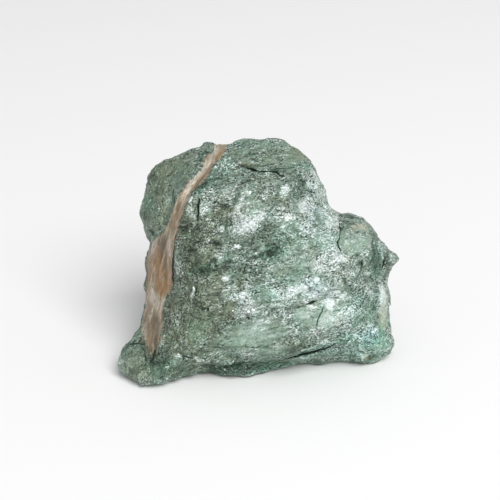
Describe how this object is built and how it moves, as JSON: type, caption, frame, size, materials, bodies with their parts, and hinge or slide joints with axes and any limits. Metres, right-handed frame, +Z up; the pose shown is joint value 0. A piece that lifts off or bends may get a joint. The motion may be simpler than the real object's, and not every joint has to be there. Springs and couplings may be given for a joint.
{
  "type": "fuchsite specimen",
  "caption": "Rough hand specimen of green mica schist with ledges, cracks and a tan feldspar vein, standing on a flat broken base.",
  "frame": {"origin": "middle of the bottom of the bounding box, on the plane of the flat base", "axes": "+X along the broad face to the right, +Y from the broad face to the back, +Z up"},
  "size_m": [0.0912, 0.0638, 0.0697],
  "materials": {
    "fuchsite_schist": "green mica schist, matte on broken edges and silvery where the mica lies flat, with a tan feldspar vein"
  },
  "bodies": {
    "root": {"fuchsite_specimen": "fuchsite_schist"}
  },
  "joints": []
}
